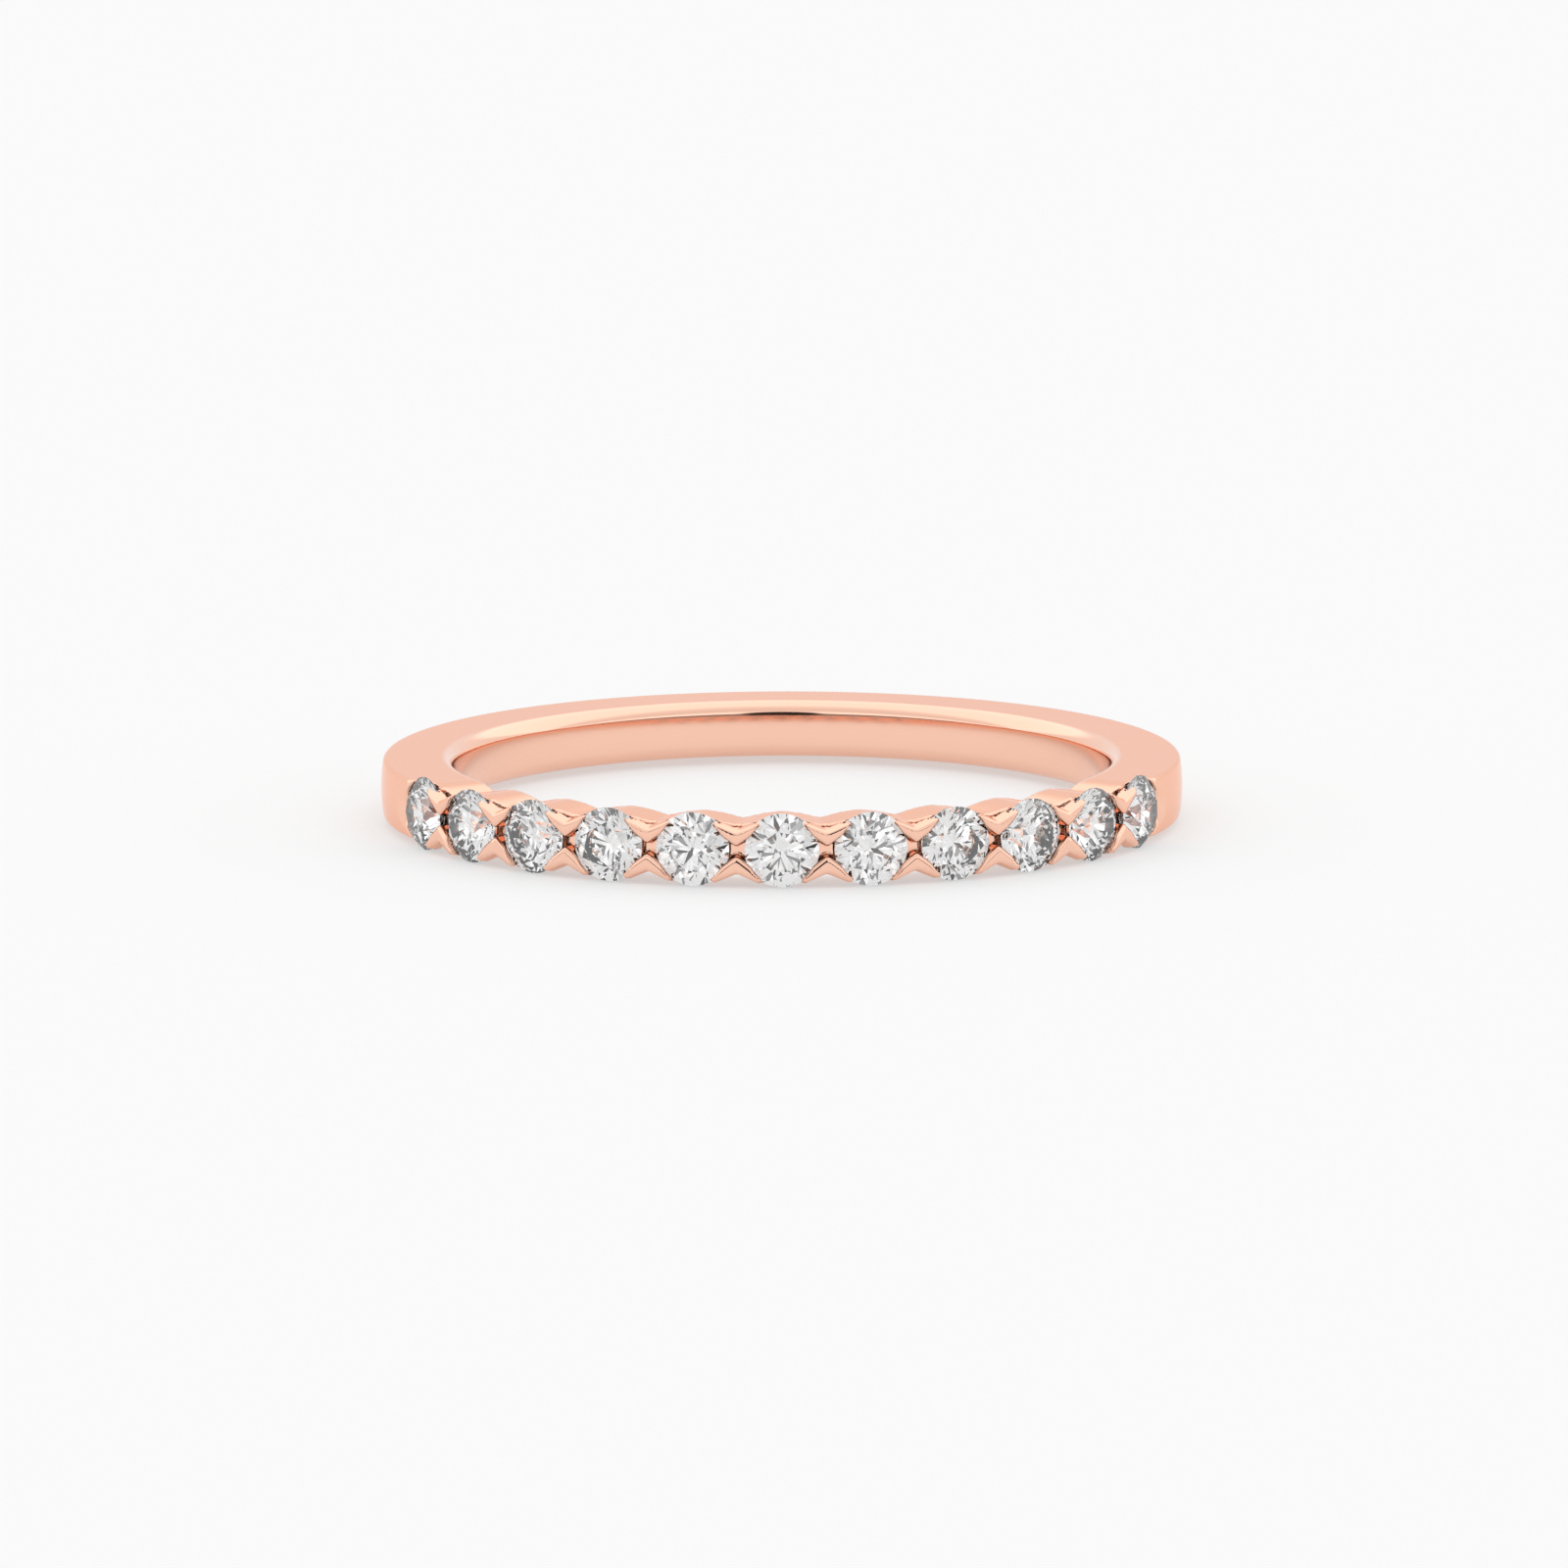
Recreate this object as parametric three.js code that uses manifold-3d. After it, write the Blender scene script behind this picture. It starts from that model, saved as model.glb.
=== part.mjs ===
// Wedding band: a rose-gold ring whose front carries eleven round brilliants in shared fishtail claws.
// Millimetres. The finger axis is +Z and the ring lies flat; the stones face -Y.
// The origin is on the finger axis, in the plane the ring rests on.
import * as THREE from 'three';
import { mergeVertices } from 'three/addons/utils/BufferGeometryUtils.js';
import Module from 'manifold-3d';

// ---- driving dimensions ----
const FINGER_R = 8.25;          // bore of the ring
const BAND_R = 10.1;            // outer wall of the band
const BAND_HALF = 0.73;         // half the width of the band along the finger
const INNER_FILLET = 0.34;      // comfort rounding of the bore's edges
const OUTER_FILLET = 0.2;       // rounding of the outer edges
const COMFORT_SAG = 0.05;       // how far the bore's wall bulges toward the finger

const STONES = 11;
const PITCH = THREE.MathUtils.degToRad(12.7);   // angle from one stone to the next
const STONE_R = 0.912;          // girdle radius of a stone
const GIRDLE_AT = 9.9;          // distance of a girdle from the finger axis
const TURN = 2.4;               // how far each stone is turned about its own axis from the last

const TABLE = 0.57;             // table width as a share of the stone's width
const CROWN = 0.15;             // crown height as a share of the width
const GIRDLE = 0.03;            // girdle thickness as a share of the width
const PAVILION = 0.43;          // pavilion depth as a share of the width
const STAR = 0.5;               // how far the star facets reach from table to girdle
const LOWER_HALF = 0.77;        // how far the lower halves reach from girdle to culet

const CLAW_R = 10.16;           // outer face of the claws
const CLAW_BACK = 9.46;         // inner face of the claws
const CLAW_TIP = 0.78;          // height of the arm tips above the middle plane
const CLAW_END = 0.7;           // height at which the end of an arm meets its stone
const CLAW_FORK = 0.5;          // height of the fork between two arms
const CLAW_ROOT = 0.12;         // height of the blunt point at the claw's inner end
const FOOT_SPREAD = 0.35;       // sideways distance at which the inner end has run under its stones
const FOOT_HEIGHT = 0.38;       // its height there
const ARM_SPREAD = 0.54;        // sideways distance of an arm tip from the claw's middle
const ARM_END = 0.66;           // sideways distance at which the end of an arm meets its stone
const CLAW_GRIP = 0.05;         // how far an arm reaches in over the girdle
const RELIEF = 0.1;             // groove between the claws and the gallery rail
const BRIDGE_R = 9.86;          // face of the bridge between an upper and a lower claw

const RAIL_PEAK = 0.75;         // height of the gallery rail beside a stone
const RAIL_VALLEY = 0.57;       // height of the rail between two stones
const SEAT_GAP = 0.03;          // clearance round a stone
const DRILL_R = 0.35;           // hole under each stone, open to the bore
const SCOOP = [0.5, 0.3, 0.38]; // half sizes of the hollow in a shoulder: along, deep, high

const AROUND = 96;              // facets round the band
const HALF = (STONES - 1) / 2;
const END_ANGLE = HALF * PITCH;
const BASE = STONE_R;           // the stones' lower edges touch the resting plane

const wasm = await Module();
wasm.setup();

// ---- solids ----
function solid(geometry) {
  const g = geometry.clone();
  g.deleteAttribute('normal');
  g.deleteAttribute('uv');
  const merged = mergeVertices(g, 1e-5);
  return new wasm.Manifold(new wasm.Mesh({
    numProp: 3,
    vertProperties: Float32Array.from(merged.attributes.position.array),
    triVerts: Uint32Array.from(merged.index.array),
  }));
}

function meshOf(body, name, material) {
  const { vertProperties, triVerts, numProp } = body.getMesh();
  const g = new THREE.BufferGeometry();
  const xyz = new Float32Array((vertProperties.length / numProp) * 3);
  for (let i = 0; i < xyz.length / 3; i++) {
    xyz.set(vertProperties.subarray(i * numProp, i * numProp + 3), i * 3);
  }
  g.setAttribute('position', new THREE.BufferAttribute(xyz, 3));
  g.setIndex(Array.from(triVerts));
  g.computeVertexNormals();
  const mesh = new THREE.Mesh(g, material);
  mesh.name = name;
  return mesh;
}

const unite = (bodies) => wasm.Manifold.union(bodies);

// A profile of [radius, height] points turned about the Z axis.
function turned(profile, segments, from = 0, sweep = 2 * Math.PI) {
  const points = profile.map(([r, z]) => new THREE.Vector2(r, z));
  points.push(points[0].clone());
  return new THREE.LatheGeometry(points, segments, from, sweep).rotateX(Math.PI / 2);
}

// An outline in the tangential-vertical plane, extruded along the radius between two distances,
// at an angle round the ring; angle 0 faces -Y.
function radialPrism(outline, r0, r1, angle) {
  const shape = new THREE.Shape(outline.map(([u, z]) => new THREE.Vector2(u, z)));
  const g = new THREE.ExtrudeGeometry(shape, { depth: r1 - r0, bevelEnabled: false });
  return solid(g.rotateX(Math.PI / 2).translate(0, -r0, 0).rotateZ(angle));
}

// A block of the ring's annulus, symmetric about -Y and about the middle plane.
function sector(r0, r1, halfHeight, halfAngle) {
  const shape = new THREE.Shape();
  shape.absarc(0, 0, r1, -Math.PI / 2 - halfAngle, -Math.PI / 2 + halfAngle, false);
  shape.absarc(0, 0, r0, -Math.PI / 2 + halfAngle, -Math.PI / 2 - halfAngle, true);
  shape.closePath();
  const settings = { depth: 2 * halfHeight, bevelEnabled: false, curveSegments: 40 };
  return solid(new THREE.ExtrudeGeometry(shape, settings).translate(0, 0, -halfHeight));
}

// A profile of [radius, distance from the finger axis] points turned about a stone's own axis.
function aboutStone(profile, segments, angle) {
  const g = turned(profile, segments).rotateX(Math.PI / 2);
  return solid(g.rotateZ(angle));
}

const mirrored = (outline, side) => outline.map(([u, z]) => [u, side * z]);

const arc = (cx, cy, r, a0, a1, n) => Array.from({ length: n + 1 }, (_, i) => {
  const a = a0 + ((a1 - a0) * i) / n;
  return [cx + r * Math.cos(a), cy + r * Math.sin(a)];
});

// ---- brilliant-cut stone, girdle plane at z = 0, table up ----
function brilliant() {
  const width = 2 * STONE_R;
  const at = (r, k, z) => {
    const a = (k * Math.PI) / 4;
    return new THREE.Vector3(r * Math.cos(a), r * Math.sin(a), z);
  };
  const top = (GIRDLE * width) / 2;
  const tableR = TABLE * STONE_R;
  const tableZ = top + CROWN * width;
  const culetZ = -top - PAVILION * width;

  const flatR = tableR * Math.cos(Math.PI / 8);
  const starR = flatR + STAR * (STONE_R - flatR);
  const bezelDrop = (starR * Math.cos(Math.PI / 8) - tableR) / (STONE_R - tableR);
  const starZ = tableZ - bezelDrop * CROWN * width;
  const lowerR = STONE_R * (1 - LOWER_HALF);
  const lowerZ = culetZ + (PAVILION * width * lowerR * Math.cos(Math.PI / 8)) / STONE_R;

  const planes = [[at(tableR, 0, tableZ), at(tableR, 3, tableZ), at(tableR, 5, tableZ)]];
  for (let k = 0; k < 8; k++) {
    const crownMid = at(starR, k + 0.5, starZ);
    const lowerMid = at(lowerR, k + 0.5, lowerZ);
    planes.push([at(tableR, k, tableZ), at(tableR, k + 1, tableZ), crownMid]);
    planes.push([at(tableR, k, tableZ), at(starR, k - 0.5, starZ), at(STONE_R, k, top)]);
    planes.push([at(STONE_R, k, top), at(STONE_R, k + 0.5, top), crownMid]);
    planes.push([at(STONE_R, k + 0.5, top), at(STONE_R, k + 1, top), crownMid]);
    planes.push([at(STONE_R, k, -top), at(lowerR, k - 0.5, lowerZ), at(0, 0, culetZ)]);
    planes.push([at(STONE_R, k, -top), at(STONE_R, k + 0.5, -top), lowerMid]);
    planes.push([at(STONE_R, k + 0.5, -top), at(STONE_R, k + 1, -top), lowerMid]);
  }

  const rough = new THREE.CylinderGeometry(STONE_R, STONE_R, 2 * width, 48).rotateX(Math.PI / 2);
  const waste = planes.map((points) => {
    const plane = new THREE.Plane().setFromCoplanarPoints(...points);
    if (plane.distanceToPoint(new THREE.Vector3()) > 0) plane.negate();
    const turn = new THREE.Quaternion().setFromUnitVectors(new THREE.Vector3(0, 0, 1), plane.normal);
    const block = new THREE.BoxGeometry(4 * width, 4 * width, 2 * width).translate(0, 0, width);
    const foot = plane.normal.clone().multiplyScalar(-plane.constant);
    return solid(block.applyQuaternion(turn).translate(...foot.toArray()));
  });
  return solid(rough).subtract(unite(waste));
}

// ---- band ----
function shank() {
  const f = INNER_FILLET;
  const o = OUTER_FILLET;
  const zi = BAND_HALF - f;
  const zo = BAND_HALF - o;
  const wall = arc(0, 0, 1, -1, 1, 4).map(([, s]) => s / Math.sin(1));
  const profile = [
    ...arc(BAND_R - o, -zo, o, -Math.PI / 2, 0, 3),
    ...arc(BAND_R - o, zo, o, 0, Math.PI / 2, 3),
    ...arc(FINGER_R + f, zi, f, Math.PI / 2, Math.PI, 4),
    ...wall.slice(1, -1).map((s) => [FINGER_R - COMFORT_SAG * (1 - s * s), -s * zi]),
    ...arc(FINGER_R + f, -zi, f, Math.PI, 1.5 * Math.PI, 4),
  ];
  return solid(turned(profile, AROUND));
}

// A fishtail claw: one foot between two stones, forking into an arm over each of them.
function claw(angle, side) {
  const foot = (PITCH / 2) * CLAW_R;
  const outline = [
    [-foot, FOOT_HEIGHT], [-FOOT_SPREAD, FOOT_HEIGHT], [0, CLAW_ROOT], [FOOT_SPREAD, FOOT_HEIGHT],
    [foot, FOOT_HEIGHT], [ARM_END, CLAW_END], [ARM_SPREAD, CLAW_TIP],
    [0, CLAW_FORK], [-ARM_SPREAD, CLAW_TIP], [-ARM_END, CLAW_END],
  ];
  return radialPrism(mirrored(outline, side), CLAW_BACK, CLAW_R, angle);
}

// The groove that frees the backs of the arms from the rail behind them.
function reliefGroove(angle, side) {
  const outline = [
    [-ARM_SPREAD, CLAW_TIP + 1], [-ARM_SPREAD, CLAW_TIP - RELIEF], [0, CLAW_FORK - RELIEF],
    [ARM_SPREAD, CLAW_TIP - RELIEF], [ARM_SPREAD, CLAW_TIP + 1],
  ];
  return radialPrism(mirrored(outline, side), CLAW_BACK - RELIEF, CLAW_BACK, angle);
}

// Metal outside the rail's wavy edge, from the middle of one stone to the middle of the next.
function scallop(angle, side) {
  const half = (PITCH / 2) * BAND_R;
  const wave = Array.from({ length: 11 }, (_, i) => {
    const s = i / 5 - 1;
    return [s * half, RAIL_PEAK - (RAIL_PEAK - RAIL_VALLEY) * (1 - Math.abs(s)) ** 2];
  });
  return radialPrism(mirrored([...wave, [half, 2], [-half, 2]], side), FINGER_R - 1, 12, angle);
}

// Room for one stone: the drilled hole, the seat under the pavilion, the groove that takes
// the girdle, and the opening over the crown, which the arms overhang by their grip.
function stoneRoom(angle) {
  const girdle = GIRDLE * STONE_R;
  const wide = STONE_R + SEAT_GAP;
  const open = STONE_R - CLAW_GRIP;
  const crownSlope = (2 * CROWN) / (1 - TABLE);
  const pavilionSlope = 2 * PAVILION;
  const under = GIRDLE_AT - girdle - SEAT_GAP;
  const over = GIRDLE_AT + girdle + SEAT_GAP;
  return aboutStone([
    [0, FINGER_R - 1], [DRILL_R, FINGER_R - 1], [DRILL_R, under - (wide - DRILL_R) * pavilionSlope],
    [wide, under], [wide, over], [open, over + (wide - open) * crownSlope], [open, 12], [0, 12],
  ], 32, angle);
}

// The hollow in a shoulder beside its end stone, which leaves an arm above it and one below.
function shoulderHollow(side) {
  const g = new THREE.SphereGeometry(1, 24, 12).scale(...SCOOP);
  return solid(g.translate(side * STONE_R, -BAND_R - SEAT_GAP, 0).rotateZ(side * END_ANGLE));
}

function band() {
  const stones = Array.from({ length: STONES }, (_, i) => (i - HALF) * PITCH);
  const gaps = stones.slice(1).map((angle) => angle - PITCH / 2);
  const both = (make) => gaps.flatMap((angle) => [make(angle, 1), make(angle, -1)]);

  // Between the end stones the band is cut down to the bridges and its edges are scalloped.
  return shank()
    .subtract(sector(BRIDGE_R, 12, 2, END_ANGLE))
    .subtract(unite(both(scallop)))
    .add(unite(both(claw)))
    .subtract(unite(both(reliefGroove)))
    .subtract(unite([...stones.map(stoneRoom), shoulderHollow(1), shoulderHollow(-1)]));
}

// ---- assembly ----
const gold = new THREE.MeshStandardMaterial({ color: 0xe8a98c, metalness: 1, roughness: 0.15 });
const diamond = new THREE.MeshStandardMaterial({ color: 0xf4f6f8, metalness: 0, roughness: 0.02 });

const ring = new THREE.Group();
ring.name = 'wedding_band';

const casting = meshOf(band(), 'band', gold);
casting.geometry.translate(0, 0, BASE);
ring.add(casting);

const cut = brilliant();
for (let i = 0; i < STONES; i++) {
  const stone = meshOf(cut, `stone_${String(i + 1).padStart(2, '0')}`, diamond);
  stone.geometry.rotateZ(i * TURN).rotateX(Math.PI / 2).translate(0, -GIRDLE_AT, 0)
    .rotateZ((i - HALF) * PITCH).translate(0, 0, BASE);
  ring.add(stone);
}

export default ring;
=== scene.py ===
"""Wedding band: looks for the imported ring.

The band's CAD node is replaced by one polished casting whose edges, claws and hollows are rounded
as they are after polishing. Each stone is replaced by a brilliant cut from a finer round.
Lengths are in millimetres until a mesh is made; the scene is in metres.
"""

import math

import bmesh
import bpy
import numpy as np
from mathutils import Matrix, Vector


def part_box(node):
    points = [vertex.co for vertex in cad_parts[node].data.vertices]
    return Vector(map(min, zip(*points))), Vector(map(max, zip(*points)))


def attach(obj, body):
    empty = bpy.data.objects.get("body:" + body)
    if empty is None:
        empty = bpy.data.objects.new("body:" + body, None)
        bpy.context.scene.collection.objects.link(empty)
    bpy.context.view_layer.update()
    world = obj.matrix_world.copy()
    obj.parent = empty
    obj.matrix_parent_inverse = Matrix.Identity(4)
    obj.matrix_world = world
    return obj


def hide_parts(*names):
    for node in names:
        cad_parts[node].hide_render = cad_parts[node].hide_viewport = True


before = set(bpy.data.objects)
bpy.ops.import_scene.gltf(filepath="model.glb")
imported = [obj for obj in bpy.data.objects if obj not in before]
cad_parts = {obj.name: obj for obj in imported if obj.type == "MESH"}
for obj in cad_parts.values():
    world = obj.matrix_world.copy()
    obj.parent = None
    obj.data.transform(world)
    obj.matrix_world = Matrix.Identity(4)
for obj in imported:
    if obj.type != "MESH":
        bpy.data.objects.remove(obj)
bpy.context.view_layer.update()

MM = 0.001
STONES = sorted(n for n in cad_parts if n.startswith("stone_"))
HALF = (len(STONES) - 1) / 2

# ---- sizes of the casting, in millimetres ----
stone_low, stone_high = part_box(STONES[len(STONES) // 2])
MIDDLE = (stone_low[2] + stone_high[2]) / 2 / MM      # height of the middle plane
BAND_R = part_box("band")[1][1] / MM
FINGER_R = 8.25
BAND_HALF = 0.735
OUTER_BULGE = 0.06
COMFORT_SAG = 0.017             # the bore's wall bulges this far over its width, at the back
INNER_FILLET = 0.37
FILLET_START = math.radians(5)  # tilt of the wall where the fillet takes over from the bulge
OUTER_FILLET = 0.09

STONE_R = (stone_high[0] - stone_low[0]) / 2 / MM
PITCH = math.radians(12.7)
GIRDLE_AT = 9.9
GIRDLE_SIDES = 96
STONE_TURN = 2.4                # how far each stone is turned about its own axis from the last
TABLE, CROWN, GIRDLE, PAVILION = 0.57, 0.15, 0.03, 0.43     # shares of a stone's width
STAR, LOWER_HALF = 0.5, 0.77    # reach of the star facets and of the lower halves
SEAT_GAP, GRIP = 0.03, 0.07     # clearance round a stone; reach of the arms over it
DRILL_R = 0.35

CLAW_R = 10.16
CLAW_BACK = 9.7
CLAW_ROOT, ROOT_SLOPE = 0.12, 0.75  # a claw's inner end is a blunt point between two stones
FORK, FORK_ROUND = 0.545, 0.04
ARM_TIP = 0.78
ARM_SPREAD = 0.54
ARM_END, ARM_END_HEIGHT = 0.66, 0.7
BRIDGE_R = 9.78
RAIL_DIP = 0.16
GROOVE, GROOVE_DEPTH = (9.62, 9.8), 0.3
GROOVE_FROM = 0.1               # sideways distance from a fork at which its two grooves start
PIT, PIT_AT = (0.075, 0.13), 9.62       # half sizes and place of the pit behind each fork
LOWER_REACH = 0.075             # the lower claws reach this much further from the middle plane
SHOULDER = (0.02, 0.085)        # turns beyond an end stone's middle where the band thickens again
HOLLOW = (0.45, 0.22, 0.33)     # half sizes of a shoulder's hollow: along, deep, high
HOLLOW_OUT = 0.03               # its middle lies this far outside the band's wall

# roundings left by polishing
FORK_BEVEL = (0.075, 0.3)       # how far down the face and how far back over the top
ROOT_BEVEL = (0.055, 0.055)
EDGE = 0.06
SOFT = 0.045                    # rounding of the bevels' own edges
POINT_ROUND = 0.03              # rounding of a claw's inner point
VALLEY_ROUND = 0.01             # rounding of the rail's valleys, as a turn
ROOT_BLEND = 0.05
HOLLOW_BLEND = 0.15

SEAT_FROM = 9.0                 # the seats' walls, painted a darker grey than the gold, start at this distance from the axis
SEAT_SKIN = 0.02                # and reach this far from a room's surface

# grid that the casting is meshed on: first line, then stretches of (end, step)
HEIGHTS = (-0.86, [(-0.1, 0.048), (0.1, 0.06), (0.86, 0.048)])
RADII = (8.09, [(8.67, 0.065), (9.2, 0.1), (10.27, 0.048)])
HEAD_STEP = math.radians(0.32)
HEAD_BEYOND = math.radians(9)   # the fine turns go on this far beyond the end stones' middles
BACK_LINES = 90
FIRST_DRAWS, LAST_DRAWS = 3, 3  # rounds of drawing the mesh onto the surface
RELAXATIONS = 8                 # rounds of evening it out in between


# ---- the casting as a field that is negative inside the metal ----
def fillet_max(a, b, k):
    """Where both are negative, with the outer corner rounded to radius k."""
    corner = np.hypot(np.maximum(a + k, 0), np.maximum(b + k, 0))
    return np.minimum(-k, np.maximum(a, b)) + corner


def fillet_min(a, b, k):
    """Where either is negative, with the inner corner filled to radius k."""
    corner = np.hypot(np.maximum(k - a, 0), np.maximum(k - b, 0))
    return np.maximum(k, np.minimum(a, b)) - corner


def bevel_max(a, b, bevel):
    """Where both are negative, with the outer corner bevelled and the bevel's edges softened."""
    into_a, along_a = bevel
    slope = into_a / along_a
    flat = (a + b * slope + into_a) / math.hypot(1, slope)
    return fillet_max(fillet_max(a, flat, SOFT), b, SOFT)


def bore_wall(turn, up, z, r, half):
    """The bulging wall of the bore and the fillet that runs from it onto the flat top."""
    sag = COMFORT_SAG * np.sin(turn / 2) ** 4
    full = BAND_HALF - INNER_FILLET * (1 - math.sin(FILLET_START))
    start = half - INNER_FILLET * (1 - math.sin(FILLET_START))
    tilt = np.arctan(2 * sag * start / full ** 2)
    centre_r = FINGER_R - sag * (1 - (start / full) ** 2) + INNER_FILLET * np.cos(tilt)
    centre_z = start - INNER_FILLET * np.sin(tilt)
    a, b = centre_r - r, up - centre_z
    corner = np.hypot(np.maximum(a, 0), np.maximum(b, 0)) + np.minimum(np.maximum(a, b), 0)
    wall = FINGER_R - sag * (1 - (z / full) ** 2) - r
    return np.where(up < start, wall, corner - INNER_FILLET)


def soft_abs(x, k):
    """The size of x, with the corner at 0 rounded."""
    return np.sqrt(x * x + k * k) - k


def stone_room(across, z, rise, grip=GRIP):
    """The space cut for a stone: drilled hole, pavilion cone, girdle groove, opening for the crown."""
    wide, opening = STONE_R + SEAT_GAP, STONE_R - grip
    under = GIRDLE_AT - GIRDLE * STONE_R - SEAT_GAP
    over = GIRDLE_AT + GIRDLE * STONE_R + SEAT_GAP
    cone = under - (wide - DRILL_R) * 2 * PAVILION
    lip = over + (SEAT_GAP + GRIP) * 2 * CROWN / (1 - TABLE)
    crown = wide + (opening - wide) * np.clip((rise - over) / (lip - over), 0, 1)
    return np.hypot(across, z) - np.minimum(crown, np.interp(rise, (cone, under), (DRILL_R, wide)))


def casting(turn, z, r):
    """turn is the angle from -Y round the finger axis; z is measured from the middle plane."""
    up = np.abs(z)
    beyond = np.abs(turn) - HALF * PITCH
    thick = np.clip((beyond - SHOULDER[0]) / (SHOULDER[1] - SHOULDER[0]), 0, 1)
    thick = thick * thick * (3 - 2 * thick)

    # nearest gap between two stones, and nearest stone
    gap = (np.clip(np.round(turn / PITCH - 0.5), -HALF, HALF - 1) + 0.5) * PITCH
    along, out = r * np.sin(turn - gap), r * np.cos(turn - gap)
    stone = np.clip(np.round(turn / PITCH), -HALF, HALF) * PITCH
    across, rise = r * np.sin(turn - stone), r * np.cos(turn - stone)

    # shank, gallery rail and bridges
    share = np.clip(soft_abs(turn - gap, VALLEY_ROUND) / (PITCH / 2), 0, 1)
    half = BAND_HALF - RAIL_DIP * (1 - share) ** 2
    wall = BRIDGE_R + thick * (BAND_R - BRIDGE_R - OUTER_BULGE * (z / BAND_HALF) ** 2)
    body = fillet_max(up - half, r - wall, EDGE + thick * (OUTER_FILLET - EDGE))
    body = np.maximum(body, bore_wall(turn, up, z, r, half))

    # claws
    slope = (ARM_TIP - FORK) / ARM_SPREAD
    reach = up - np.where(z < 0, LOWER_REACH, 0)
    fork = (reach - FORK - slope * soft_abs(along, FORK_ROUND)) / math.hypot(1, slope)
    end_slope = (ARM_TIP - ARM_END_HEIGHT) / (ARM_END - ARM_SPREAD)
    end = (reach - ARM_TIP + end_slope * (np.abs(along) - ARM_SPREAD)) / math.hypot(1, end_slope)
    claw = bevel_max(fillet_max(fork, end, SOFT), out - CLAW_R, FORK_BEVEL)
    root = CLAW_ROOT + ROOT_SLOPE * soft_abs(along, POINT_ROUND) - up
    root = root / math.hypot(1, ROOT_SLOPE)
    claw = bevel_max(root, claw, ROOT_BEVEL)
    claw = fillet_max(claw, CLAW_BACK - out, EDGE / 2)
    body = fillet_min(body, claw, ROOT_BLEND)

    # a groove behind each arm, and a pit behind the fork
    groove = np.maximum(np.maximum(GROOVE[0] - out, out - GROOVE[1]), -(fork + GROOVE_DEPTH))
    groove = np.maximum(groove, np.maximum(np.abs(along) - ARM_SPREAD, GROOVE_FROM - np.abs(along)))
    pit = (np.hypot(along / PIT[0], (out - PIT_AT) / PIT[1]) - 1) * PIT[0]
    pit = np.maximum(pit, -(fork + GROOVE_DEPTH))
    body = fillet_max(body, -np.minimum(groove, pit), EDGE / 2)

    # hollows in the shoulders
    beside = np.abs(across) - STONE_R
    size = np.sqrt((beside / HOLLOW[0]) ** 2 + ((rise - BAND_R - HOLLOW_OUT) / HOLLOW[1]) ** 2
                   + (z / HOLLOW[2]) ** 2)
    hollow = np.where(beyond < 0, 1, (size - 1) * HOLLOW[1])
    body = fillet_max(body, -hollow, HOLLOW_BLEND)

    grip = np.where(beyond > 0, -SEAT_GAP, GRIP)        # the shoulders have no lip
    return fillet_max(body, -stone_room(across, z, rise, grip), EDGE / 2)


# ---- mesh of the field: one vertex per cut cell, drawn onto the surface ----
def graded(low, stretches):
    """Grid lines from low whose spacing is given for stretches of (end, step)."""
    lines = [low]
    for end, spacing in stretches:
        count = round((end - lines[-1]) / spacing)
        lines += list(np.linspace(lines[-1], end, count + 1)[1:])
    return np.array(lines)


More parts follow.
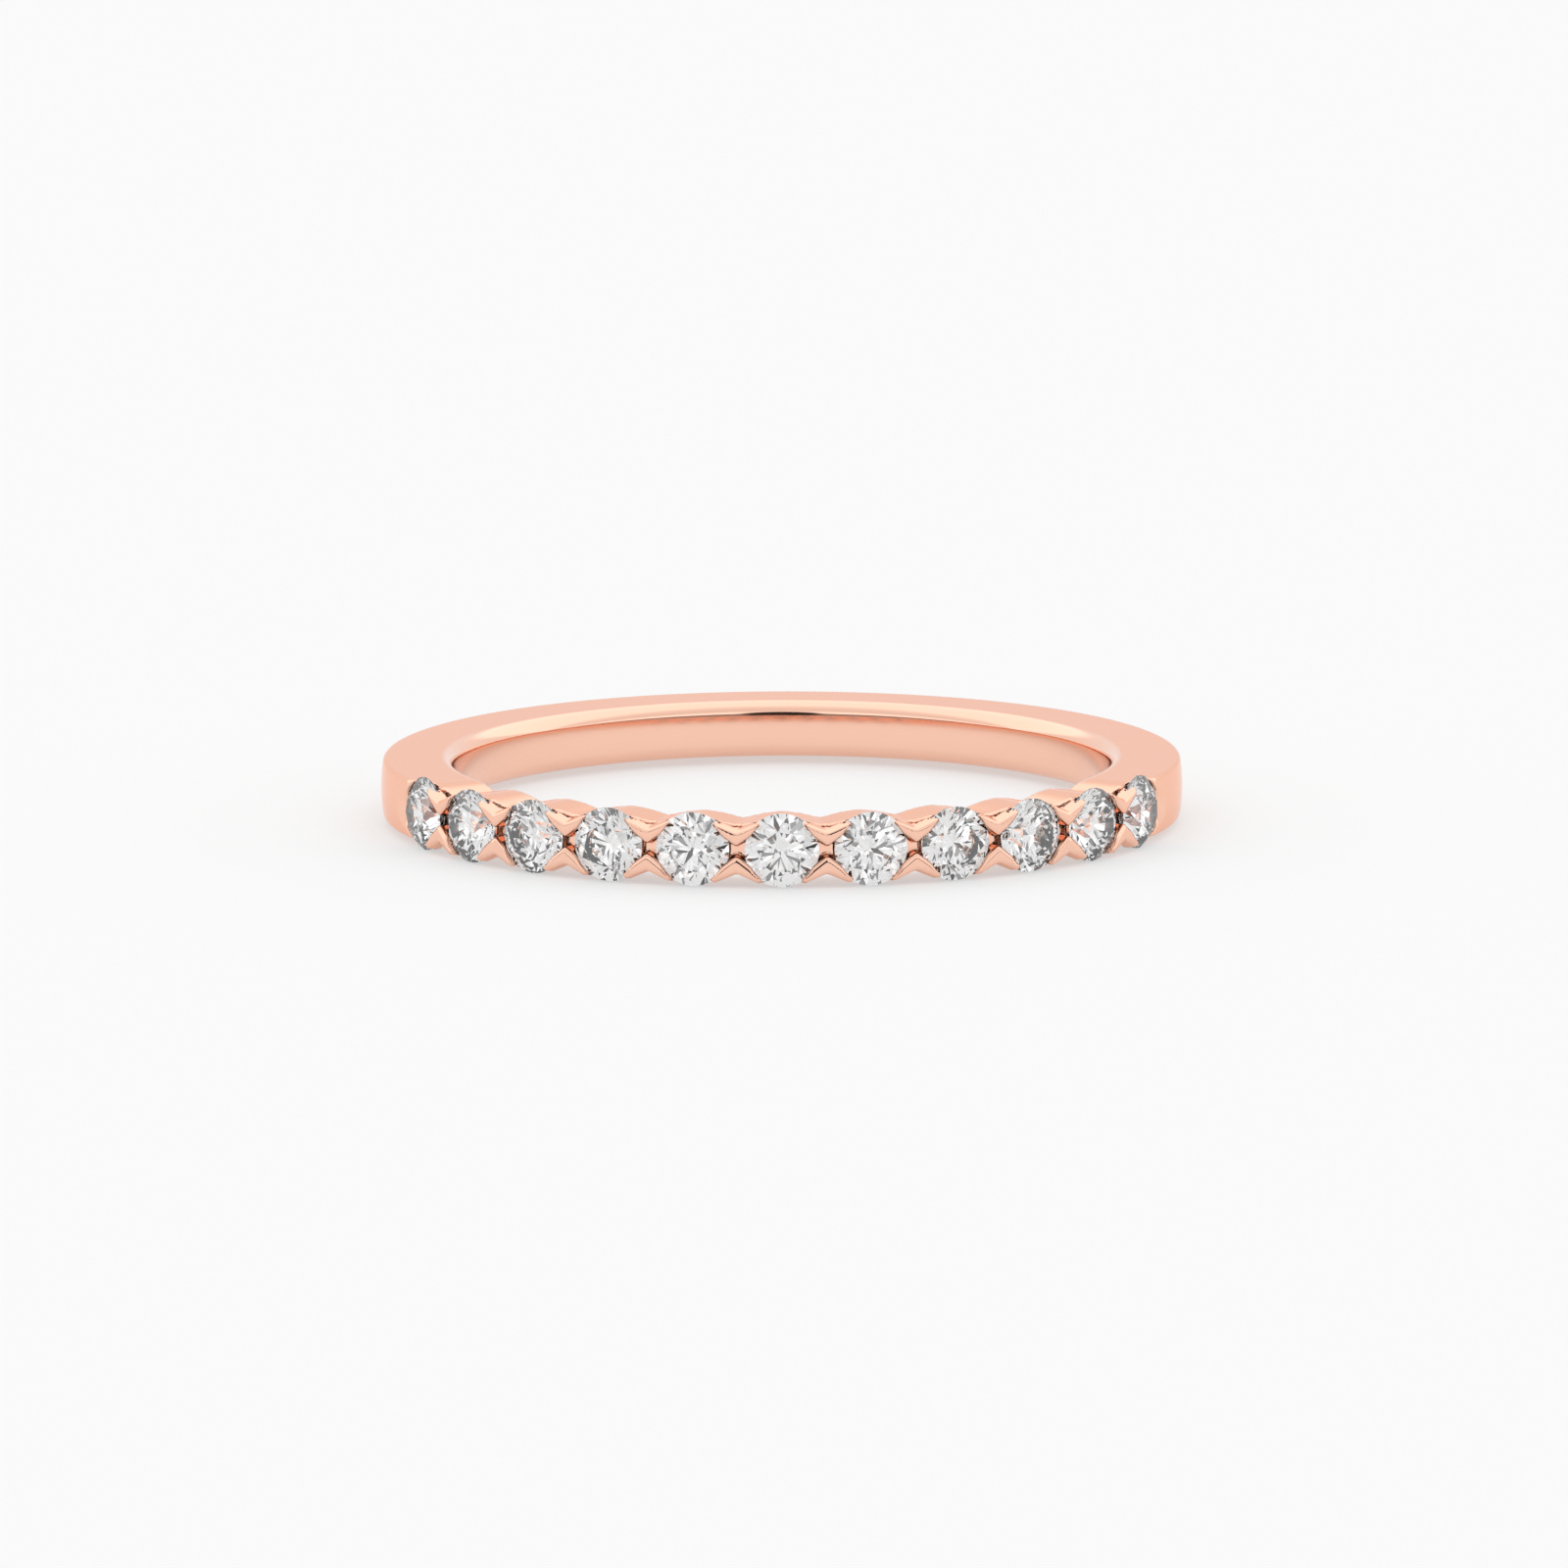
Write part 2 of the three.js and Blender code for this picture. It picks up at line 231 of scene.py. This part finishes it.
def field_mesh():
    """Points and quads of the surface where the casting's field changes sign."""
    fine = HALF * PITCH + HEAD_BEYOND
    head_lines = np.linspace(-fine, fine, 2 * round(fine / HEAD_STEP) + 1)
    back_lines = np.linspace(fine, 2 * math.pi - fine, BACK_LINES)[1:-1]
    turns = np.concatenate([head_lines, back_lines])
    heights, radii = graded(*HEIGHTS), graded(*RADII)
    wrapped = np.where(turns > math.pi, turns - 2 * math.pi, turns)

    values = np.stack([
        casting(np.full((len(heights), len(radii)), t), heights[:, None] + 0 * radii,
                radii + 0 * heights[:, None]) for t in wrapped]).astype(np.float64)
    inside = values < 0
    nt = len(turns)

    def corner(a, shift):
        dt, dz, dr = shift
        a = np.roll(a, -dt, axis=0)
        return a[:, dz:dz + len(heights) - 1, dr:dr + len(radii) - 1]

    corners = [(i, j, k) for i in (0, 1) for j in (0, 1) for k in (0, 1)]
    count = sum(corner(inside, c).astype(np.int8) for c in corners)
    cells = np.argwhere((count > 0) & (count < 8))
    index = np.full(count.shape, -1, dtype=np.int64)
    index[tuple(cells.T)] = np.arange(len(cells))

    # mean of the crossings of a cell's edges, in fractions of the cell
    total = np.zeros((len(cells), 3))
    hits = np.zeros(len(cells))
    at = {c: corner(values, c)[tuple(cells.T)] for c in corners}
    for c in corners:
        for axis in range(3):
            if c[axis]:
                continue
            d = list(c)
            d[axis] = 1
            a, b = at[c], at[tuple(d)]
            cut = (a < 0) != (b < 0)
            f = np.where(cut, a / np.where(cut, a - b, 1), 0)
            p = np.array(c, float)[None, :].repeat(len(cells), 0)
            p[:, axis] = f
            total += np.where(cut[:, None], p, 0)
            hits += cut
    frac = total / hits[:, None]
    step_t = np.diff(np.append(turns, turns[0] + 2 * math.pi))
    t = turns[cells[:, 0]] + frac[:, 0] * step_t[cells[:, 0]]
    z = heights[cells[:, 1]] + frac[:, 1] * np.diff(heights)[cells[:, 1]]
    r = radii[cells[:, 2]] + frac[:, 2] * np.diff(radii)[cells[:, 2]]
    points = np.stack([r * np.sin(t), -r * np.cos(t), z], axis=1)

    # quads round every cut grid line
    quads = []
    for axis in range(3):
        n = np.roll(inside, -1, axis=0) if axis == 0 else None
        a = inside if axis == 0 else (inside[:, :-1] if axis == 1 else inside[:, :, :-1])
        b = n if axis == 0 else (inside[:, 1:] if axis == 1 else inside[:, :, 1:])
        edges = np.argwhere(a != b)
        outward = a[tuple(edges.T)]
        one, two = [x for x in range(3) if x != axis]
        ring = []
        for s, u in ((-1, -1), (0, -1), (0, 0), (-1, 0)):
            e = edges.copy()
            e[:, one] += s
            e[:, two] += u
            e[:, 0] %= nt
            ring.append(index[tuple(e.T)])
        quad = np.stack(ring, axis=1)
        flip = outward if axis != 1 else ~outward
        quad[~flip] = quad[~flip][:, ::-1]
        quads.append(quad)
    return points, np.concatenate(quads)


def field_at(points):
    x, y, z = points.T
    return casting(np.arctan2(x, -y), z, np.hypot(x, y))


def slope_at(points, h=2e-4):
    """The field's gradient in space."""
    steps = np.eye(3) * h
    return np.stack([(field_at(points + s) - field_at(points - s)) / (2 * h) for s in steps], axis=1)


def neighbour_mean(points, quads):
    """The mean of each point's neighbours along the quads' sides."""
    total, count = np.zeros_like(points), np.zeros(len(points))
    for side in range(4):
        a, b = quads[:, side], quads[:, (side + 1) % 4]
        for here, there in ((a, b), (b, a)):
            count += np.bincount(here, minlength=len(points))
            for axis in range(3):
                total[:, axis] += np.bincount(here, points[there, axis], len(points))
    return total / count[:, None]


def settle(points):
    """Draws points onto the surface along the field's slope."""
    g = slope_at(points)
    move = field_at(points) / np.maximum((g * g).sum(1), 0.05)
    return points - np.clip(move, -0.03, 0.03)[:, None] * g


def seat_faces(points, quads):
    """Faces in the rooms, below the stones' girdles."""
    x, y, z = points[quads].mean(axis=1).T
    turn, r = np.arctan2(x, -y), np.hypot(x, y)
    stone = np.clip(np.round(turn / PITCH), -HALF, HALF) * PITCH
    across, rise = r * np.sin(turn - stone), r * np.cos(turn - stone)
    near = stone_room(across, z, rise) < SEAT_SKIN
    return near & (rise < GIRDLE_AT) & (rise > SEAT_FROM)


def polished_band():
    """The casting as a Blender object, its seats in the second material."""
    points, quads = field_mesh()
    for _ in range(FIRST_DRAWS):
        points = settle(points)
    for _ in range(RELAXATIONS):
        normals = slope_at(points)
        normals /= np.linalg.norm(normals, axis=1)[:, None]
        pull = neighbour_mean(points, quads) - points
        pull -= (pull * normals).sum(1)[:, None] * normals
        points = settle(points + 0.5 * pull)
    for _ in range(LAST_DRAWS):
        points = settle(points)

    # shading follows the field's slope, softened by one round with the neighbours
    normals = slope_at(points)
    normals /= np.linalg.norm(normals, axis=1)[:, None]
    normals += neighbour_mean(normals, quads)
    normals /= np.linalg.norm(normals, axis=1)[:, None]

    mesh = bpy.data.meshes.new("band_polished")
    mesh.from_pydata(((points + (0, 0, MIDDLE)) * MM).tolist(), [], quads.tolist())
    mesh.update()
    mesh.shade_smooth()
    mesh.normals_split_custom_set_from_vertices(normals.tolist())
    mesh.polygons.foreach_set("material_index", seat_faces(points, quads).astype(np.int32))
    piece = bpy.data.objects.new("band_polished", mesh)
    bpy.context.scene.collection.objects.link(piece)
    return piece


# ---- stones ----
def facet_planes():
    """The facets of a brilliant whose girdle plane is z = 0, each as three of its points."""
    width = 2 * STONE_R
    top = GIRDLE * STONE_R
    table_r, table_z = TABLE * STONE_R, top + CROWN * width
    culet = Vector((0, 0, -top - PAVILION * width))
    flat_r = table_r * math.cos(math.pi / 8)
    star_r = flat_r + STAR * (STONE_R - flat_r)
    drop = (star_r * math.cos(math.pi / 8) - table_r) / (STONE_R - table_r)
    star_z = table_z - drop * CROWN * width
    lower_r = STONE_R * (1 - LOWER_HALF)
    lower_z = culet.z + PAVILION * width * lower_r * math.cos(math.pi / 8) / STONE_R

    def at(r, k, z):
        return Vector((r * math.cos(k * math.pi / 4), r * math.sin(k * math.pi / 4), z))

    planes = [(at(table_r, 0, table_z), at(table_r, 3, table_z), at(table_r, 5, table_z))]
    for k in range(8):
        crown_mid, lower_mid = at(star_r, k + 0.5, star_z), at(lower_r, k + 0.5, lower_z)
        planes += [
            (at(table_r, k, table_z), at(table_r, k + 1, table_z), crown_mid),
            (at(table_r, k, table_z), at(star_r, k - 0.5, star_z), at(STONE_R, k, top)),
            (at(STONE_R, k, top), at(STONE_R, k + 0.5, top), crown_mid),
            (at(STONE_R, k + 0.5, top), at(STONE_R, k + 1, top), crown_mid),
            (at(STONE_R, k, -top), at(lower_r, k - 0.5, lower_z), culet),
            (at(STONE_R, k, -top), at(STONE_R, k + 0.5, -top), lower_mid),
            (at(STONE_R, k + 0.5, -top), at(STONE_R, k + 1, -top), lower_mid),
        ]
    return planes


def brilliant():
    """A round bar cut down facet by facet."""
    cut = bmesh.new()
    bmesh.ops.create_cone(cut, cap_ends=True, segments=GIRDLE_SIDES, radius1=STONE_R,
                          radius2=STONE_R, depth=4 * STONE_R)
    for a, b, c in facet_planes():
        normal = (b - a).cross(c - a).normalized()
        if normal.dot(a) < 0:
            normal.negate()
        everything = cut.verts[:] + cut.edges[:] + cut.faces[:]
        done = bmesh.ops.bisect_plane(cut, geom=everything, dist=1e-6, plane_co=a, plane_no=normal,
                                      clear_outer=True)
        rim = [e for e in done["geom_cut"] if isinstance(e, bmesh.types.BMEdge) and e.is_boundary]
        bmesh.ops.edgeloop_fill(cut, edges=rim)
    bmesh.ops.recalc_face_normals(cut, faces=cut.faces[:])
    return cut


def cut_stone(name, cut, place):
    """A copy of the cut stone, moved to its place."""
    mesh = bpy.data.meshes.new(name)
    cut.to_mesh(mesh)
    mesh.transform(place)
    piece = bpy.data.objects.new(name, mesh)
    bpy.context.scene.collection.objects.link(piece)
    return piece


# ---- materials ----
CLEFT_SHADE_REACH = 0.25                    # reach of the painted shade that darkens clefts and corners, as an occlusion distance
SHELTERED, OPEN = 0.2, 0.6      # shares of open sky at which the painted shade is full, and gone
# colour of the painted shade in clefts and corners
CLEFT_SHADE_COLOUR = (0.34, 0.16, 0.10, 1)
GOLD = ((0.965, 0.588, 0.444, 1), (0.975, 0.602, 0.458, 1))
GOLD_EDGE = (0.99, 0.795, 0.715, 1)     # tint of its glancing reflections
# grey of the seats, darker than the gold: painted shade for the stones' dark facets
SEAT_PAINTED_GREY = ((0.38, 0.38, 0.39, 1), (0.48, 0.48, 0.49, 1))
DIAMOND = ((0.985, 0.985, 0.985, 1), (1, 1, 1, 1))
WHITE = (1, 1, 1, 1)


def shader(name):
    material = bpy.data.materials.new(name)
    material.use_nodes = True
    return material, material.node_tree, material.node_tree.nodes["Principled BSDF"]


def noise(tree, scale, detail=2.0):
    """A noise in the object's own space; scale is in features per metre."""
    place = tree.nodes.new("ShaderNodeTexCoord")
    texture = tree.nodes.new("ShaderNodeTexNoise")
    texture.inputs["Scale"].default_value = scale
    texture.inputs["Detail"].default_value = detail
    tree.links.new(place.outputs["Object"], texture.inputs["Vector"])
    return texture.outputs["Fac"]


def ramp(tree, source, low, high):
    """Maps 0..1 to the range low..high."""
    node = tree.nodes.new("ShaderNodeMapRange")
    node.inputs["To Min"].default_value = low
    node.inputs["To Max"].default_value = high
    tree.links.new(source, node.inputs["Value"])
    return node.outputs["Result"]


def step(tree, source, low, high):
    """0 below low, 1 above high, and smooth between them."""
    node = tree.nodes.new("ShaderNodeMapRange")
    node.interpolation_type = "SMOOTHSTEP"
    node.inputs["From Min"].default_value = low
    node.inputs["From Max"].default_value = high
    tree.links.new(source, node.inputs["Value"])
    return node.outputs["Result"]


def maths(tree, operation, a, b=0.0):
    node = tree.nodes.new("ShaderNodeMath")
    node.operation = operation
    for socket, value in zip(node.inputs, (a, b)):
        if isinstance(value, float):
            socket.default_value = value
        else:
            tree.links.new(value, socket)
    return node.outputs[0]


def colour_mix(tree, factor, a, b):
    """Goes from a to b, each a colour or another node's output."""
    mix = tree.nodes.new("ShaderNodeMix")
    mix.data_type = "RGBA"
    tree.links.new(factor, mix.inputs["Factor"])
    for socket, value in (("A", a), ("B", b)):
        if isinstance(value, tuple):
            mix.inputs[socket].default_value = value
        else:
            tree.links.new(value, mix.inputs[socket])
    return mix.outputs["Result"]


def paint_cleft_shade(tree, colour):
    """Paints shade into clefts and corners: the colour darkens where the occlusion finds little open
    sky.
    """
    shelter = tree.nodes.new("ShaderNodeAmbientOcclusion")
    shelter.samples = 8
    shelter.only_local = True
    shelter.inputs["Distance"].default_value = CLEFT_SHADE_REACH * MM
    open_sky = tree.nodes.new("ShaderNodeMapRange")
    open_sky.inputs["From Min"].default_value = SHELTERED
    open_sky.inputs["From Max"].default_value = OPEN
    tree.links.new(shelter.outputs["AO"], open_sky.inputs["Value"])
    return colour_mix(tree, open_sky.outputs["Result"], CLEFT_SHADE_COLOUR, colour)


def bore_painted_reflection_tint(tree):
    """Colour of glancing reflections: the gold's own tint outside, and white in the bore as a painted
    reflection whose paler highlights stand in for light going round the bore.
    """
    place = tree.nodes.new("ShaderNodeTexCoord")
    split = tree.nodes.new("ShaderNodeSeparateXYZ")
    tree.links.new(place.outputs["Object"], split.inputs[0])
    x, y, _ = split.outputs
    away = maths(tree, "SQRT", maths(tree, "ADD", maths(tree, "MULTIPLY", x, x),
                                     maths(tree, "MULTIPLY", y, y)))
    edge = FINGER_R + INNER_FILLET
    outside = step(tree, away, (edge - 0.2) * MM, edge * MM)
    return colour_mix(tree, outside, WHITE, GOLD_EDGE)


def rose_gold():
    material, tree, bsdf = shader("rose_gold_polished")
    bsdf.inputs["Metallic"].default_value = 1.0
    # painted reflection: glancing reflections turn white in the bore
    tree.links.new(bore_painted_reflection_tint(tree), bsdf.inputs["Specular Tint"])
    metal = colour_mix(tree, noise(tree, 900), *GOLD)
    # painted shade: the gold darkens in clefts and corners where little sky is open
    tree.links.new(paint_cleft_shade(tree, metal), bsdf.inputs["Base Color"])
    tree.links.new(ramp(tree, noise(tree, 2500, 3), 0.09, 0.14), bsdf.inputs["Roughness"])
    return material


def paint_seat_grey():
    """The seats' walls, seen through the stones: metal painted grey and darker than the gold, a
    painted shade that gives the stones dark, neutral facets.
    """
    material, tree, bsdf = shader("greyed_seat_painted_shade")
    bsdf.inputs["Metallic"].default_value = 1.0
    tree.links.new(colour_mix(tree, noise(tree, 1500), *SEAT_PAINTED_GREY), bsdf.inputs["Base Color"])
    tree.links.new(ramp(tree, noise(tree, 2500, 3), 0.2, 0.3), bsdf.inputs["Roughness"])
    return material


def diamond():
    material, tree, bsdf = shader("diamond")
    bsdf.inputs["Transmission Weight"].default_value = 1.0
    bsdf.inputs["IOR"].default_value = 2.417
    bsdf.inputs["Roughness"].default_value = 0.0
    tree.links.new(colour_mix(tree, noise(tree, 700), *DIAMOND), bsdf.inputs["Base Color"])
    return material


band = polished_band()
band.data.materials.append(rose_gold())
band.data.materials.append(paint_seat_grey())
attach(band, "root")
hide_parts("band")

clear = diamond()
rough = brilliant()
for i, name in enumerate(STONES):
    place = (Matrix.Scale(MM, 4) @ Matrix.Translation((0, 0, MIDDLE))
             @ Matrix.Rotation((i - HALF) * PITCH, 4, "Z") @ Matrix.Translation((0, -GIRDLE_AT, 0))
             @ Matrix.Rotation(math.pi / 2, 4, "X") @ Matrix.Rotation(i * STONE_TURN, 4, "Z"))
    stone = cut_stone(name + "_cut", rough, place)
    stone.data.materials.append(clear)
    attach(stone, "root")
    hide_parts(name)
rough.free()

# ---- floor ----
FLOOR_GLOW = 0.475              # share of the floor's light that no shadow reaches
FLOOR_R = 1.5                   # in metres
bpy.ops.mesh.primitive_circle_add(vertices=96, radius=FLOOR_R, fill_type="NGON")
floor = bpy.context.object
floor.name = "floor"
paper, tree, bsdf = shader("pale_floor")
bsdf.inputs["Base Color"].default_value = (0.42, 0.42, 0.42, 1)
bsdf.inputs["Roughness"].default_value = 1.0
bsdf.inputs["Specular IOR Level"].default_value = 0.0
bsdf.inputs["Emission Color"].default_value = WHITE
bsdf.inputs["Emission Strength"].default_value = FLOOR_GLOW
floor.data.materials.append(paper)

# ---- light: a studio arched over the finger axis ----
LENS_TILT = math.radians(9.6)   # height of the lens above the horizon
# brightness by angle, from behind the ring (0) over the top (90) to the lens side (180)
ARCH = [(0, 0.93), (14, 0.93), (24, 0.95), (30, 1.35), (80, 1.27), (104, 1.27), (113, 1.02),
        (125, 0.93), (145, 0.84), (152, 0.88), (156, 1.3), (168, 1.3), (170, 0.25), (180, 0.25)]
BRIGHTEST = 2.0
LENS_SHADE = math.radians(14)   # half width of the dark lens and its hood
LENS_LIGHT = 0.02


def grey(light):
    """A brightness as a colour, where 1 stands for the studio's brightest light."""
    return (light / BRIGHTEST,) * 3 + (1,)


def studio():
    world = bpy.data.worlds.new("studio")
    bpy.context.scene.world = world
    world.use_nodes = True
    tree = world.node_tree
    place = tree.nodes.new("ShaderNodeTexCoord").outputs["Generated"]
    split = tree.nodes.new("ShaderNodeSeparateXYZ")
    tree.links.new(place, split.inputs[0])
    _, y, z = split.outputs
    share = maths(tree, "DIVIDE", maths(tree, "ARCTAN2", z, y), math.pi)

    arch = tree.nodes.new("ShaderNodeValToRGB")
    tree.links.new(share, arch.inputs["Fac"])
    stops = arch.color_ramp.elements
    while len(stops) < len(ARCH):
        stops.new(0.5)
    for stop, (degrees, light) in zip(stops, ARCH):
        stop.position = degrees / 180
        stop.color = grey(light)

    toward = tree.nodes.new("ShaderNodeVectorMath")
    toward.operation = "DOT_PRODUCT"
    toward.inputs[1].default_value = (0, -math.cos(LENS_TILT), math.sin(LENS_TILT))
    tree.links.new(place, toward.inputs[0])
    hood = step(tree, toward.outputs["Value"], math.cos(LENS_SHADE * 1.1), math.cos(LENS_SHADE * 0.9))

    light = colour_mix(tree, hood, arch.outputs["Color"], grey(LENS_LIGHT))
    background = tree.nodes["Background"]
    background.inputs["Strength"].default_value = BRIGHTEST
    tree.links.new(light, background.inputs["Color"])


studio()

# ---- camera ----
DISTANCE = 0.3
FOCAL_LENGTH = 273.0
ROLL = math.radians(0.14)
ASIDE, DOWN = 0.057e-3, 0.028e-3        # the lens is aimed this far from the ring's middle
camera = bpy.data.objects.new("camera", bpy.data.cameras.new("camera"))
bpy.context.scene.collection.objects.link(camera)
bpy.context.scene.camera = camera
camera.data.sensor_width = 36
camera.data.lens = FOCAL_LENGTH
camera.data.clip_end = 10
back = Vector((0, -math.cos(LENS_TILT), math.sin(LENS_TILT)))
above = Vector((0, math.sin(LENS_TILT), math.cos(LENS_TILT)))
right = Vector((1, 0, 0))
aim = Vector((0, 0, MIDDLE * MM)) + right * ASIDE - above * DOWN
turned = Matrix.Rotation(-ROLL, 3, back)
camera.matrix_world = Matrix.Translation(aim + back * DISTANCE) @ Matrix(
    (turned @ right, turned @ above, back)).transposed().to_4x4()

bpy.context.scene.view_settings.view_transform = "Standard"
